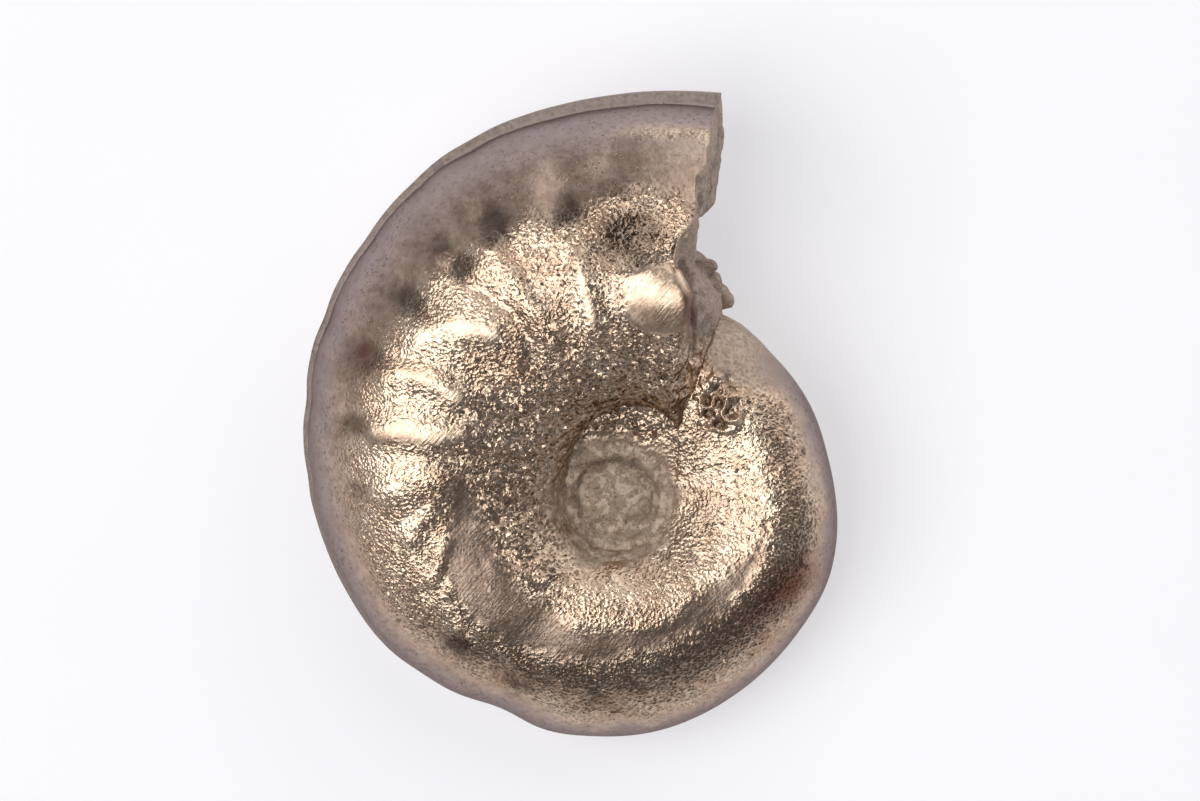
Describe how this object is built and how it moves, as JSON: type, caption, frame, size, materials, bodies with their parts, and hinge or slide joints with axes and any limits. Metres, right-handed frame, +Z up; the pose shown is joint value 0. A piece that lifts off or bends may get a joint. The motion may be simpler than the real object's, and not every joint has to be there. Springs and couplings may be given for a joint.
{
  "type": "ammonite fossil",
  "caption": "Small pyrite ammonite fossil, a tightly coiled keeled shell with low ribs, a crusted hub and a rough broken end, lying on one flank.",
  "frame": {"origin": "centre of the bounding box's base, on the ground that the far flank lies on", "axes": "+Z up, out of the upper flank; +Y towards the broken end of the last whorl, along the longest extent; +X towards the older half of the coil"},
  "size_m": [0.0232, 0.0282, 0.0117],
  "materials": {
    "pyrite": "grainy metallic, part polished, part crusted"
  },
  "bodies": {
    "root": {"ammonite": "pyrite"}
  },
  "joints": []
}
